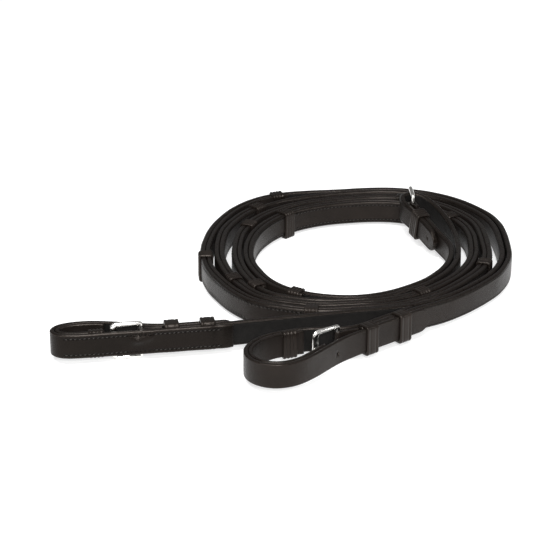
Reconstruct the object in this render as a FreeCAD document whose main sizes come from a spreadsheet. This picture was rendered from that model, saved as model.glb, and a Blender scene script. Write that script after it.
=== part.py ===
"""Leather reins with buckled bit ends, coiled flat with the straps standing on edge.

Both reins start at the centre buckle, run clockwise side by side through two turns of the coil and
leave it at the front, where each one ends in a bit loop with its own buckle.
Millimetres, +Z up. The origin is on the ground under the middle of the coiled reins.
"""

import math
import os

import FreeCAD
import Part

V = FreeCAD.Vector
UP = V(0, 0, 1)

doc = FreeCAD.newDocument("reins")

# ---------------------------------------------------------------- driving dimensions
sheet = doc.addObject("Spreadsheet::Sheet", "sizes")
DIMENSIONS = [
    ("strap_width", 16.0),
    ("rein_thickness", 3.6),
    ("lining_thickness", 3.2),
    ("billet_thickness", 3.0),
    ("loop_lining_thickness", 2.8),
    ("chape_thickness", 1.3),
    ("ground_gap", 2.4),
    ("end_lift", 2.4),
    ("wire_radius", 1.5),
    ("heel_radius", 1.2),
    ("buckle_height", 25.0),
    ("buckle_length", 18.0),
    ("corner_radius", 3.4),
    ("prong_radius", 0.9),
    ("prong_eye_height", 3.4),
    ("running_gap", 0.06),
    ("stop_width", 8.8),
    ("stop_wall", 1.25),
    ("keeper_width", 9.4),
    ("keeper_wall", 1.4),
    ("keeper_reach", 2.2),
    ("end_loop_wall", 1.2),
    ("end_loop_reach", 1.4),
    ("pocket_gap", 0.03),
    ("rib_height", 0.4),
    ("rib_width", 1.3),
    ("fit_gap", 0.25),
    ("hole_radius", 1.2),
]
for row, (alias, value) in enumerate(DIMENSIONS, start=1):
    sheet.set("A%d" % row, alias)
    sheet.set("B%d" % row, str(value))
    sheet.setAlias("B%d" % row, alias)
doc.recompute()


def size(alias):
    return float(sheet.get(alias))


WIDTH = size("strap_width")
REIN = size("rein_thickness")
LINING = size("lining_thickness")
BILLET = size("billet_thickness")
LOOP_LINING = size("loop_lining_thickness")
GLUE = 0.05
COIL_Z = size("ground_gap") + WIDTH / 2
END_Z = COIL_Z + size("end_lift")

# ---------------------------------------------------------------- the coil
# Places are given from a point on the ground near the bit loops; ORIGIN moves them so that the
# part's own origin lies under the middle of the whole.
ORIGIN = V(7.5, -23.2, 0)
COIL_X, COIL_Y = 48.0, 18.0
# Inner radius of the first turn, one value per clock hour, clockwise from the right-hand side.
FIRST_TURN = [66, 68.6, 74.6, 82.9, 82, 71.5, 65.5, 66.5, 71.5, 77.2, 86.8, 85.6]
HOUR = 30.0
# Turned angles, in degrees clockwise, where the padded grip of each rein starts and ends.
LEFT_GRIP = (112.0, 592.0)
RIGHT_GRIP = (130.0, 606.0)
LEFT_STOPS = [116, 233.5, 323, 420.6, 505, 588]
RIGHT_STOPS = [134, 209, 294, 378.5, 465, 530, 602]
NEAR_GAP, SIDE_GAP = 0.4, 5.4
PAIR_GAP, PAIR_SIDE_GAP = 0.45, 0.9


def smooth(t):
    t = max(0.0, min(1.0, t))
    return t * t * (3 - 2 * t)


def plateau(angle, start, end, ease):
    """1 between start and end, easing to 0 outside."""
    return smooth((angle - start + ease) / ease) * smooth((end + ease - angle) / ease)


def grip(angle, span):
    return LINING * plateau(angle, span[0], span[1], 22.0)


def stop_room(angle, stops):
    """Extra room that the straps beside a stop leave for it."""
    room = size("stop_wall") + size("fit_gap") + 0.1
    return room * max(plateau(angle, a - 4.0, a + 4.0, 24.0) for a in stops)


def spread(angle):
    """The straps are bunched at the front and spread everywhere else."""
    return 1 - ((1 + math.sin(math.radians(angle))) / 2) ** 3


def pair_gap(angle):
    room = stop_room(angle, LEFT_STOPS) + stop_room(angle, RIGHT_STOPS)
    return max(PAIR_GAP + PAIR_SIDE_GAP * spread(angle), 0.3) + room


def turn_gap(angle):
    """Gap between the right rein and the left rein one turn later."""
    base = NEAR_GAP + SIDE_GAP * spread(angle)
    room = max(stop_room(angle, RIGHT_STOPS), stop_room(angle + 360, LEFT_STOPS))
    return base + max(0.0, room - 0.75 * (base - NEAR_GAP))


def pair_thickness(angle):
    return 2 * REIN + grip(angle, LEFT_GRIP) + grip(angle, RIGHT_GRIP) + pair_gap(angle)


def pitch(angle):
    return pair_thickness(angle) + turn_gap(angle)


def inner_radius(angle):
    """Radius of the left rein's inner face after turning through the angle."""
    if angle >= 360:
        return inner_radius(angle - 360) + pitch(angle - 360)
    hour = int(math.floor(angle / HOUR))
    f = angle / HOUR - hour

    def knot(k):
        if k < 0:
            return FIRST_TURN[0] - 0.5 * (FIRST_TURN[1] - FIRST_TURN[0]) * k
        if k >= 12:
            return FIRST_TURN[k - 12] + pitch((k - 12) * HOUR)
        return FIRST_TURN[k]

    a, b, c, d = knot(hour - 1), knot(hour), knot(hour + 1), knot(hour + 2)
    return b + 0.5 * f * (c - a + f * (2 * a - 5 * b + 4 * c - d + f * (3 * (b - c) + d - a)))


def coil_point(angle, radius, height=COIL_Z):
    turn = math.radians(angle)
    return V(COIL_X + radius * math.cos(turn), COIL_Y - radius * math.sin(turn), height) - ORIGIN


def left_radius(angle):
    return inner_radius(angle) + REIN / 2


def right_radius(angle):
    return inner_radius(angle) + pair_thickness(angle) - REIN / 2


def coil_route(radius, start, end, step=6.0):
    count = int(round((end - start) / step))
    angles = [start + (end - start) * i / count for i in range(count + 1)]
    return [coil_point(a, radius(a)) for a in angles]


def place(x, y, height=END_Z):
    return V(x, y, height) - ORIGIN


# ---------------------------------------------------------------- straight stretches of the ends
class Line:
    """A straight stretch: s runs along the strap towards its free end, o across it."""

    def __init__(self, x, y, heading, side, height):
        turn = math.radians(heading)
        self.base = V(x, y, height)
        self.along = V(math.cos(turn), math.sin(turn), 0)
        self.across = V(-math.sin(turn), math.cos(turn), 0) * side
        self.heading = heading
        self.side = side

    def at(self, s, o=0.0, height=None):
        p = self.base + self.along * s + self.across * o - ORIGIN
        if height is not None:
            p.z = height
        return p


# o > 0 is the grain side, where the billet and the buckle lie.
LEFT = Line(-50.2, -115.8, 189.3, -1, END_Z)
RIGHT = Line(74.9, -99.4, 219.6, 1, END_Z)
BILLET_OFFSET = REIN / 2 + BILLET / 2 + 0.1
LAP_OFFSET = -(REIN / 2 + BILLET / 2 + GLUE)


# ---------------------------------------------------------------- leather straps
def curve_through(points):
    curve = Part.BSplineCurve()
    curve.interpolate(points)
    return curve


def side_of(tangent):
    return UP.cross(V(tangent.x, tangent.y, 0)).normalize()


def strap_shape(points, thickness, width=WIDTH):
    """A flat strap standing on edge, swept along its centre line in stretches of about 60 mm."""
    curve = curve_through(points)
    first, last = curve.FirstParameter, curve.LastParameter
    start = curve.value(first)
    side = side_of(curve.tangent(first)[0]) * (thickness / 2)
    half = UP * (width / 2)
    corners = [start + side - half, start + side + half, start - side + half, start - side - half]
    count = max(1, int(curve.length() / 60))
    ends = [first + (last - first) * i / count for i in range(count + 1)]
    stretches = [curve.toShape(a, b) for a, b in zip(ends, ends[1:])]
    sweep = Part.BRepOffsetAPI.MakePipeShell(Part.Wire(stretches))
    sweep.setBiNormalMode(UP)
    sweep.add(Part.makePolygon(corners + corners[:1]))
    sweep.build()
    sweep.makeSolid()
    return sweep.shape()


def with_round_tip(shape, points, width=WIDTH):
    """The strap with its first end cut to a half-round nose."""
    along = (points[1] - points[0]).normalize()
    side = side_of(along)
    radius = width / 2
    corner = Part.makeBox(radius + 2, 12, width + 4, V(-2, -6, -width / 2 - 2))
    keep = Part.makeCylinder(radius, 12, V(radius, -6, 0), V(0, 1, 0))
    cutter = corner.cut(keep)
    slope = FreeCAD.Rotation(along, side, V(0, 0, 1), "XYZ")
    cutter.Placement = FreeCAD.Placement(points[0], slope)
    return shape.cut(cutter)


def punched_hole(point, across, radius, depth=12.0):
    return Part.makeCylinder(radius, depth, point - across * (depth / 2), across)


def leather(label, shape):
    node = doc.addObject("Part::Feature", label)
    node.Label = label
    node.Shape = shape
    return node


# ---------------------------------------------------------------- band round a strap
def bound_box(name, length, width, height):
    """A box centred on its own origin, with its sizes bound to the sheet."""
    box = doc.addObject("Part::Box", name)
    box.setExpression("Length", length)
    box.setExpression("Width", width)
    box.setExpression("Height", height)
    box.setExpression("Placement.Base.x", "-(%s) / 2" % length)
    box.setExpression("Placement.Base.y", "-(%s) / 2" % width)
    box.setExpression("Placement.Base.z", "-(%s) / 2" % height)
    return box


def band(label, centre, heading, stack, width, wall, reach, slope=0.0):
    """A ribbed leather band closed round a stack of straps: a sleeve with four ribs."""
    inner_y = "%s + 2 * sizes.fit_gap" % stack
    inner_z = "sizes.strap_width + 2 * sizes.fit_gap"
    outer_y = "%s + 2 * (%s - sizes.rib_height)" % (inner_y, wall)
    outer_z = "%s + 2 * (%s - sizes.rib_height)" % (inner_z, reach)
    parts = [bound_box(label + "_sleeve", width, outer_y, outer_z)]
    for i in range(4):
        rib_y = "%s + 2 * sizes.rib_height" % outer_y
        rib_z = "%s + 2 * sizes.rib_height" % outer_z
        rib = bound_box("%s_rib_%d" % (label, i + 1), "sizes.rib_width", rib_y, rib_z)
        step = "(%s - sizes.rib_width) / 3" % width
        shift = "-sizes.rib_width / 2 + (%g) * %s" % (i - 1.5, step)
        rib.setExpression("Placement.Base.x", shift)
        parts.append(rib)
    body = doc.addObject("Part::MultiFuse", label + "_body")
    body.Shapes = parts
    hole = bound_box(label + "_opening", "sizes.keeper_width * 3", inner_y, inner_z)
    node = doc.addObject("Part::Cut", label)
    node.Label = label
    node.Base = body
    node.Tool = hole
    lean = FreeCAD.Rotation(V(0, 1, 0), -slope)
    node.Placement = FreeCAD.Placement(centre, FreeCAD.Rotation(UP, heading).multiply(lean))
    return node


def pocket(centre, heading, length, across, height):
    """A block standing for the room that a band takes in the strap next to it."""
    block = Part.makeBox(length, across, height, V(-length / 2, -across / 2, -height / 2))
    block.Placement = FreeCAD.Placement(centre, FreeCAD.Rotation(UP, heading))
    return block


# ---------------------------------------------------------------- buckles
HEEL = size("heel_radius")
WIRE = size("wire_radius")
PRONG = size("prong_radius")
EYE_RADIUS = HEEL + size("running_gap") + 1.0


def cylinder(name, radius, height, x, z, direction):
    """A round bar bound to the sheet, from (x, 0, z) along X or Z."""
    bar = doc.addObject("Part::Cylinder", name)
    bar.setExpression("Radius", radius)
    bar.setExpression("Height", height)
    rotation = FreeCAD.Rotation(UP, direction)
    bar.Placement = FreeCAD.Placement(V(0, 0, 0), rotation)
    bar.setExpression("Placement.Base.x", x)
    bar.setExpression("Placement.Base.z", z)
    return bar


def buckle_frame(label, heel, heading):
    """A round-wire frame: heel bar on the local Z axis, free end out along local X."""
    rail_z = "(sizes.buckle_height / 2 - sizes.wire_radius)"
    corner = "sizes.corner_radius"
    bars = [
        cylinder(label + "_heel", "sizes.heel_radius", "2 * %s" % rail_z, "0", "-%s" % rail_z, UP),
        cylinder(label + "_far", "sizes.wire_radius", "2 * (%s - %s)" % (rail_z, corner),
                 "sizes.buckle_length", "-(%s - %s)" % (rail_z, corner), UP),
    ]
    for sign, word in ((1, "top"), (-1, "bottom")):
        height = "%s%s" % ("" if sign > 0 else "-", rail_z)
        rail = cylinder("%s_%s" % (label, word), "sizes.wire_radius",
                        "sizes.buckle_length - %s" % corner, "0", height, V(1, 0, 0))
        knob = doc.addObject("Part::Sphere", "%s_%s_knob" % (label, word))
        knob.setExpression("Radius", "sizes.wire_radius")
        knob.setExpression("Placement.Base.z", height)
        bend = doc.addObject("Part::Torus", "%s_%s_corner" % (label, word))
        bend.setExpression("Radius1", corner)
        bend.setExpression("Radius2", "sizes.wire_radius")
        bend.Angle3 = 90
        turn = FreeCAD.Rotation(V(1, 0, 0), 90 * sign)
        bend.Placement = FreeCAD.Placement(V(0, 0, 0), turn)
        bend.setExpression("Placement.Base.x", "sizes.buckle_length - %s" % corner)
        bend.setExpression("Placement.Base.z", "%s(%s - %s)" % ("" if sign > 0 else "-", rail_z, corner))
        bars += [rail, knob, bend]
    node = doc.addObject("Part::MultiFuse", label)
    node.Label = label
    node.Shapes = bars
    node.Placement = FreeCAD.Placement(heel, FreeCAD.Rotation(UP, heading))
    return node


def prong_reach():
    """Length and tilt of a prong whose tip rests on the far bar."""
    lift = WIRE + PRONG + 0.1
    run = size("buckle_length")
    return math.hypot(run, lift) + 1.4, math.degrees(math.atan2(lift, run))


def prong(label, heel, heading, side):
    """A tongue turning on the heel bar; side is +1 when it lies to the left of the frame."""
    eye = doc.addObject("Part::Cylinder", label + "_eye")
    eye.Radius = EYE_RADIUS
    eye.setExpression("Height", "sizes.prong_eye_height")
    eye.setExpression("Placement.Base.z", "-sizes.prong_eye_height / 2")
    length, tilt = prong_reach()
    turn = FreeCAD.Rotation(UP, side * tilt).multiply(FreeCAD.Rotation(UP, V(1, 0, 0)))
    shank = doc.addObject("Part::Cylinder", label + "_shank")
    shank.setExpression("Radius", "sizes.prong_radius")
    shank.Height = length
    shank.Placement = FreeCAD.Placement(V(0, 0, 0), turn)
    tip = doc.addObject("Part::Sphere", label + "_tip")
    tip.setExpression("Radius", "sizes.prong_radius")
    tip.Placement.Base = turn.multVec(UP) * length
    body = doc.addObject("Part::MultiFuse", label + "_body")
    body.Shapes = [eye, shank, tip]
    bore = doc.addObject("Part::Cylinder", label + "_bore")
    bore.setExpression("Radius", "sizes.heel_radius + sizes.running_gap")
    bore.Height = 40
    bore.Placement.Base = V(0, 0, -20)
    node = doc.addObject("Part::Cut", label)
    node.Label = label
    node.Base = body
    node.Tool = bore
    node.Placement = FreeCAD.Placement(heel, FreeCAD.Rotation(UP, heading))
    return node


def chape(label, heel, heading, legs, lift=0.0):
    """A thin leather strip folded round the heel bar, with a slot where the prong turns."""
    thickness = size("chape_thickness")
    fold = HEEL + size("running_gap") + thickness / 2
    flat = thickness / 2 + GLUE
    middle = -(legs + 5.2) / 2
    points = [V(-legs, flat, 0), V(middle, flat, 0), V(-5.2, flat + 0.1, 0)]
    for step in range(-5, 6):
        turn = math.radians(22.0 * step)
        points.append(V(fold * math.cos(turn), -fold * math.sin(turn), 0))
    points += [V(-5.2, -flat - 0.1, 0), V(middle, -flat, 0), V(-legs, -flat, 0)]
    strip = strap_shape(points, thickness, WIDTH - 0.6)
    tall = size("prong_eye_height") + 0.8
    slot = Part.makeBox(8.6, 8, tall, V(-4.2, -4, lift - tall / 2))
    shape = strip.cut(slot)
    shape.Placement = FreeCAD.Placement(heel, FreeCAD.Rotation(UP, heading))
    return leather(label, shape)


# ---------------------------------------------------------------- centre join
# The left rein climbs to the centre buckle; the right rein's billet turns back through the buckle.
CENTRE_Z = COIL_Z + 10.0
JOIN = Line(93.0, 72.0, 114.5, 1, CENTRE_Z)
CENTRE_HEEL = JOIN.at(0)
CENTRE_HEADING = 93.0
JOIN_RISE = [(-52, 0.4), (-38, 2.6), (-24, 5.2), (-7, 8.6)]
left_start = [JOIN.at(s, 0, COIL_Z + rise) for s, rise in reversed(JOIN_RISE)]
TIP_GAP = REIN + 0.12
tip_run = [JOIN.at(s, TIP_GAP + away, COIL_Z + rise)
           for s, rise, away in ((-41, 2.0, 0), (-31, 3.9, 0), (-20, 6.0, 0), (-10, 8.0, 0.1),
                                 (-1.5, 9.6, 1.1))]
billet_turn = [
    place(86.2, 76.5, CENTRE_Z + 0.6),
    place(86.8, 82.6, CENTRE_Z + 1.2),
    place(91.3, 86.3, CENTRE_Z + 1.6),
    place(97.8, 85.9, CENTRE_Z + 1.2),
    place(105.2, 81.0, COIL_Z + 8.6),
    place(112.0, 71.0, COIL_Z + 5.4),
    place(117.0, 58.6, COIL_Z + 2.4),
    place(119.8, 44.5, COIL_Z + 0.5),
]

# ---------------------------------------------------------------- routes
left_route = left_start + coil_route(left_radius, 0, 756)
left_route += [
    place(98.0, -72.2, COIL_Z),
    place(84.6, -80.0, COIL_Z + 0.3),
    place(62.1, -87.4, COIL_Z + 0.9),
    place(37.0, -94.2, COIL_Z + 1.5),
    place(8.0, -102.4, COIL_Z + 2.1),
    place(-18.0, -109.2, END_Z),
    LEFT.at(-14),
    LEFT.at(-3),
    LEFT.at(9),
    LEFT.at(21.5),
]
right_route = tip_run + billet_turn + coil_route(right_radius, 0, 762)
right_route += [
    place(103.4, -75.4, COIL_Z + 0.6),
    place(94.6, -82.9, COIL_Z + 1.5),
    RIGHT.at(-13),
    RIGHT.at(-2),
    RIGHT.at(10),
    RIGHT.at(22),
    RIGHT.at(33.0),
]


def part_of_route(points, start, end, distance, samples=24):
    """A stretch of a route between two places on it, moved sideways."""
    curve = curve_through(points)
    u0 = curve.parameter(start)
    u1 = curve.parameter(end)
    stretch = []
    for i in range(samples + 1):
        u = u0 + (u1 - u0) * i / samples
        stretch.append(curve.value(u) + side_of(curve.tangent(u)[0]) * distance)
    return stretch


def beside(route, line, offset, stations):
    """Places next to a rein, at stations along its straight end."""
    curve = curve_through(route)
    places = []
    for s in stations:
        u = curve.parameter(line.at(s))
        places.append(curve.value(u) + side_of(curve.tangent(u)[0]) * offset * line.side)
    return places


# The billet is lapped on the rein's flesh side, turns round the bit loop and comes back outside.
left_billet_route = beside(left_route, LEFT, BILLET_OFFSET, (-24, -12, 2, 14))
left_billet_route += [
    LEFT.at(24, BILLET_OFFSET + 0.7),
    LEFT.at(35, 6.4),
    LEFT.at(46, 10.0),
    LEFT.at(57, 13.2),
    LEFT.at(69, 15.2),
    LEFT.at(79, 14.6),
    LEFT.at(86.8, 11.4),
    LEFT.at(90.0, 5.6),
    LEFT.at(87.0, 0.0),
    LEFT.at(79, -2.9),
    LEFT.at(70, LAP_OFFSET),
    LEFT.at(58, LAP_OFFSET),
    LEFT.at(44, LAP_OFFSET),
    LEFT.at(30, LAP_OFFSET),
]
left_billet_route += beside(left_route, LEFT, LAP_OFFSET, (18, 8, -2, -12, -21))
right_billet_route = beside(right_route, RIGHT, BILLET_OFFSET, (-21, -9, 2, 13, 24))
right_billet_route += [
    RIGHT.at(34, BILLET_OFFSET + 0.3),
    RIGHT.at(46.2, BILLET_OFFSET + 0.7),
    place(29.2, -146.6),
    place(20.0, -158.6),
    place(10.0, -168.2),
    place(-3.0, -172.2),
    place(-13.6, -168.2),
    place(-19.6, -159.4),
    place(-20.4, -149.4),
    place(-16.6, -140.2),
    place(-9.4, -132.0),
    place(2.0, -125.6),
    place(14.0, -121.8),
    place(28.0, -120.4),
    place(39.0, -119.8),
    RIGHT.at(33, LAP_OFFSET - 0.9),
]
right_billet_route += beside(right_route, RIGHT, LAP_OFFSET, (25, 16, 7, -2, -12))
LOOP_OFFSET = BILLET / 2 + LOOP_LINING / 2 + GLUE
left_loop_route = part_of_route(left_billet_route, left_billet_route[7], left_billet_route[15],
                                LOOP_OFFSET)
right_loop_route = part_of_route(right_billet_route, right_billet_route[7], right_billet_route[17],
                                 -LOOP_OFFSET)

# ---------------------------------------------------------------- places of the bands
LEFT_KEEPERS = (16.7, -5.7)
RIGHT_KEEPERS = (27.7, 0.0)
STACK_MIDDLE = (BILLET_OFFSET + BILLET / 2 - REIN / 2) / 2
STACK = "(sizes.rein_thickness + sizes.billet_thickness + 0.1)"
POCKET_ROOM = size("fit_gap") + size("pocket_gap")


def add_keepers(side, line, stations):
    pockets = []
    for number, s in enumerate(stations, start=1):
        centre = line.at(s, STACK_MIDDLE)
        band("%s_keeper_%d" % (side, number), centre, line.heading, STACK,
             "sizes.keeper_width", "sizes.keeper_wall", "sizes.keeper_reach")
        across = REIN + BILLET + 0.1 + 2 * (size("keeper_wall") + POCKET_ROOM)
        tall = WIDTH + 2 * (size("keeper_reach") + POCKET_ROOM)
        pockets.append(pocket(centre, line.heading, size("keeper_width") + 0.1, across, tall))
    return pockets


left_pockets = add_keepers("left", LEFT, LEFT_KEEPERS)
right_pockets = add_keepers("right", RIGHT, RIGHT_KEEPERS)


def middle_of(points, index):
    """A point of a route and the heading there."""
    curve = curve_through(points)
    u = curve.parameter(points[index])
    tangent = curve.tangent(u)[0]
    return curve.value(u), math.degrees(math.atan2(tangent.y, tangent.x))


def add_end_loop(side, points, index):
    """The small fixed loop between the bit loop and the buckle, on the loop lining."""
    centre, heading = middle_of(points, index)
    band("%s_end_loop" % side, centre, heading, "sizes.loop_lining_thickness",
         "sizes.keeper_width", "sizes.end_loop_wall", "sizes.end_loop_reach")
    across = LOOP_LINING + 2 * (size("end_loop_wall") + POCKET_ROOM)
    tall = WIDTH + 2 * (size("end_loop_reach") + POCKET_ROOM)
    return pocket(centre, heading, size("keeper_width") + 0.3, across, tall)


left_pockets.append(add_end_loop("left", left_loop_route, 22))
right_pockets.append(add_end_loop("right", right_loop_route, 22))

# ---------------------------------------------------------------- leather parts
left_rein = strap_shape(left_route, REIN)
leather("left_rein", left_rein)

reach, tilt = prong_reach()
prong_line = FreeCAD.Rotation(UP, CENTRE_HEADING + tilt).multVec(V(1, 0, 0))
CENTRE_BUCKLE = CENTRE_HEEL + V(0, 0, 1.2)
right_rein = with_round_tip(strap_shape(right_route, REIN), right_route)
right_rein = right_rein.cut(Part.makeCylinder(PRONG + 1.2, reach, CENTRE_BUCKLE, prong_line))
for s, rise in ((-33, 3.5), (-13, 7.4)):
    hole = punched_hole(JOIN.at(s, TIP_GAP, COIL_Z + rise), JOIN.across, size("hole_radius"), 3.7)
    right_rein = right_rein.cut(hole)
leather("right_rein", right_rein)

LINING_OFFSET = REIN / 2 + GLUE + LINING / 2
left_lining = part_of_route(left_route, *(coil_point(a, left_radius(a)) for a in LEFT_GRIP),
                            LINING_OFFSET, 80)
leather("left_grip_lining", strap_shape(left_lining, LINING))
right_lining = part_of_route(right_route, *(coil_point(a, right_radius(a)) for a in RIGHT_GRIP),
                             -LINING_OFFSET, 80)
leather("right_grip_lining", strap_shape(right_lining, LINING))


def add_billet(side, route, line, pockets, holes):
    shape = with_round_tip(strap_shape(route, BILLET), route)
    for block in pockets:
        shape = shape.cut(block.cut(keep_clear(line)))
    for point, across in holes:
        shape = shape.cut(punched_hole(point, across, size("hole_radius"), 6.0))
    leather("%s_billet" % side, shape)


def keep_clear(line):
    """The stack inside the keepers, which the pockets must not touch."""
    across, tall = REIN + BILLET + 0.3, WIDTH + 0.2
    block = Part.makeBox(120, across, tall, V(-60, -across / 2, -tall / 2))
    block.Placement = FreeCAD.Placement(line.at(10, STACK_MIDDLE), FreeCAD.Rotation(UP, line.heading))
    return block


add_billet("left", left_billet_route, LEFT, left_pockets,
           [(LEFT.at(s, BILLET_OFFSET), LEFT.across) for s in (-13, 27)])
add_billet("right", right_billet_route, RIGHT, right_pockets,
           [(place(33.7, -140.6), V(0.76, -0.65, 0))])
leather("left_loop_lining", strap_shape(left_loop_route, LOOP_LINING))
leather("right_loop_lining", strap_shape(right_loop_route, LOOP_LINING))

# ---------------------------------------------------------------- stops along the grips
GRIP_STACK = "(sizes.rein_thickness + sizes.lining_thickness)"


def add_stops(side, stops, middle):
    for number, angle in enumerate(stops, start=1):
        centre = coil_point(angle, middle(angle))
        ahead = coil_point(angle + 1, middle(angle + 1)) - coil_point(angle - 1, middle(angle - 1))
        heading = math.degrees(math.atan2(ahead.y, ahead.x))
        band("%s_stop_%d" % (side, number), centre, heading, GRIP_STACK,
             "sizes.stop_width", "sizes.stop_wall", "sizes.ground_gap - sizes.fit_gap")


add_stops("left", LEFT_STOPS, lambda a: inner_radius(a) + (REIN + LINING) / 2)
add_stops("right", RIGHT_STOPS, lambda a: right_radius(a) + REIN / 2 - (REIN + LINING) / 2)

# ---------------------------------------------------------------- buckles, prongs and chapes
LEFT_HEEL = LEFT.at(35.5, 0.7)
RIGHT_HEEL = place(35.6, -125.6)
RIGHT_HEADING = 215.0
buckle_frame("left_buckle_frame", LEFT_HEEL, LEFT.heading)
prong("left_prong", LEFT_HEEL, LEFT.heading, -1)
chape("left_chape", LEFT_HEEL, LEFT.heading, 13.0)
buckle_frame("right_buckle_frame", RIGHT_HEEL, RIGHT_HEADING)
prong("right_prong", RIGHT_HEEL, RIGHT_HEADING, 1)
chape("right_chape", RIGHT_HEEL, 199.0, 13.5)
buckle_frame("centre_buckle_frame", CENTRE_BUCKLE, CENTRE_HEADING)
prong("centre_prong", CENTRE_BUCKLE, CENTRE_HEADING, 1)
chape("centre_chape", CENTRE_HEEL, JOIN.heading, 6.8, 1.2)
band("centre_keeper", JOIN.at(-13.8, TIP_GAP / 2, COIL_Z + 7.24), JOIN.heading,
     "(2 * sizes.rein_thickness + 0.12)", "sizes.keeper_width", "sizes.keeper_wall", "2.4", 11.3)

# ---------------------------------------------------------------- check and write
doc.recompute()
LABELS = ["left_rein", "right_rein", "left_grip_lining", "right_grip_lining", "left_billet",
          "right_billet", "left_loop_lining", "right_loop_lining", "centre_keeper"]
LABELS += ["%s_%s" % (where, what) for where in ("left", "right", "centre")
           for what in ("buckle_frame", "prong", "chape")]
LABELS += ["%s_keeper_%d" % (side, n) for side in ("left", "right") for n in (1, 2)]
LABELS += ["%s_end_loop" % side for side in ("left", "right")]
LABELS += ["left_stop_%d" % n for n in range(1, len(LEFT_STOPS) + 1)]
LABELS += ["right_stop_%d" % n for n in range(1, len(RIGHT_STOPS) + 1)]

os.makedirs("parts", exist_ok=True)
for node in doc.Objects:
    if "Invalid" in node.State or "Error" in node.State:
        raise RuntimeError("%s did not recompute: %s" % (node.Name, node.State))
for label in LABELS:
    node = doc.getObjectsByLabel(label)[0]
    if node.Shape.isNull() or not node.Shape.isValid():
        raise RuntimeError("%s has no valid shape" % label)
    node.Shape.exportStep("parts/%s.step" % label)
    print("%-22s solids %d volume %8.1f" % (label, len(node.Shape.Solids), node.Shape.Volume))
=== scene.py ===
"""Coiled leather reins: detailed straps, stitching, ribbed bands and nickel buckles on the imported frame."""

import math

import bpy
import numpy as np
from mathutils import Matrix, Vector


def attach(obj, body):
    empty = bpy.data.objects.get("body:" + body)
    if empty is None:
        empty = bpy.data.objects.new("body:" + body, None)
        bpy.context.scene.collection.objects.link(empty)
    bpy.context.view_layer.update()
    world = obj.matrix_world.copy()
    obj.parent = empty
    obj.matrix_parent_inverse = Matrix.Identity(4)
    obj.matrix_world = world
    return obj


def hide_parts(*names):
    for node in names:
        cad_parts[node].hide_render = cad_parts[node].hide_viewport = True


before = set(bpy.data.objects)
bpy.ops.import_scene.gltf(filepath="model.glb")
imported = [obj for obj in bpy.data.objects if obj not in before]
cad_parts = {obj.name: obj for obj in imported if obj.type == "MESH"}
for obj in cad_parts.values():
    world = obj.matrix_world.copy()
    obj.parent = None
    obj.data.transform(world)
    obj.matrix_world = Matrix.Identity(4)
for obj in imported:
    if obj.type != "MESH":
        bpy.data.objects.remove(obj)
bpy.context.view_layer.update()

MM = 0.001
UP = np.array((0.0, 0.0, 1.0))

# ------------------------------------------------------------ sizes, in millimetres, as in the CAD
WIDTH = 16.0
REIN = 3.6
LINING = 3.2
BILLET = 3.0
LOOP_LINING = 2.8
CHAPE = 1.3
GLUE = 0.05
FIT = 0.25
GROUND_GAP = 2.4
STOP_WIDTH, STOP_WALL = 8.8, 1.25
KEEPER_WIDTH, KEEPER_WALL = 9.4, 1.4
RIB = 0.4
WIRE = 1.5
HEEL = 1.2
PRONG = 0.9
BUCKLE_HEIGHT, BUCKLE_LENGTH = 25.0, 18.0
CORNER = 3.4
PRONG_LIFT = WIRE + PRONG + 0.1
PRONG_TILT = math.atan2(PRONG_LIFT, BUCKLE_LENGTH)
COIL_Z = GROUND_GAP + WIDTH / 2
END_Z = COIL_Z + 2.4
# Places are given from a point on the ground near the bit loops; ORIGIN moves them so that the
# part's own origin lies under the middle of the whole.
ORIGIN = np.array((7.5, -23.2, 0.0))


# ------------------------------------------------------------ the coil, laid out as in the CAD
COIL_X, COIL_Y = 48.0, 18.0
# Inner radius of the first turn, one value per clock hour, clockwise from the right-hand side.
FIRST_TURN = [66, 68.6, 74.6, 82.9, 82, 71.5, 65.5, 66.5, 71.5, 77.2, 86.8, 85.6]
HOUR = 30.0
# Turned angles, in degrees clockwise, where the padded grip of each rein starts and ends.
LEFT_GRIP = (112.0, 592.0)
RIGHT_GRIP = (130.0, 606.0)
LEFT_STOPS = [116, 233.5, 323, 420.6, 505, 588]
RIGHT_STOPS = [134, 209, 294, 378.5, 465, 530, 602]
NEAR_GAP, SIDE_GAP = 0.4, 5.4
PAIR_GAP, PAIR_SIDE_GAP = 0.45, 0.9


def point(x, y, z):
    return np.array((x, y, z), float)


def smooth(t):
    t = max(0.0, min(1.0, t))
    return t * t * (3 - 2 * t)


def plateau(angle, start, end, ease):
    """1 between start and end, easing to 0 outside."""
    return smooth((angle - start + ease) / ease) * smooth((end + ease - angle) / ease)


def grip(angle, span):
    return LINING * plateau(angle, span[0], span[1], 22.0)


def stop_room(angle, stops):
    """Extra room that the straps beside a stop leave for it."""
    room = STOP_WALL + FIT + 0.1
    return room * max(plateau(angle, a - 4.0, a + 4.0, 24.0) for a in stops)


def spread(angle):
    """The straps are bunched at the front and spread everywhere else."""
    return 1 - ((1 + math.sin(math.radians(angle))) / 2) ** 3


def pair_gap(angle):
    room = stop_room(angle, LEFT_STOPS) + stop_room(angle, RIGHT_STOPS)
    return max(PAIR_GAP + PAIR_SIDE_GAP * spread(angle), 0.3) + room


def turn_gap(angle):
    """Gap between the right rein and the left rein one turn later."""
    loose = SIDE_GAP * spread(angle)
    room = max(stop_room(angle, RIGHT_STOPS), stop_room(angle + 360, LEFT_STOPS))
    return NEAR_GAP + loose + max(0.0, room - 0.75 * loose)


def pair_thickness(angle):
    return 2 * REIN + grip(angle, LEFT_GRIP) + grip(angle, RIGHT_GRIP) + pair_gap(angle)


def pitch(angle):
    return pair_thickness(angle) + turn_gap(angle)


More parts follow.
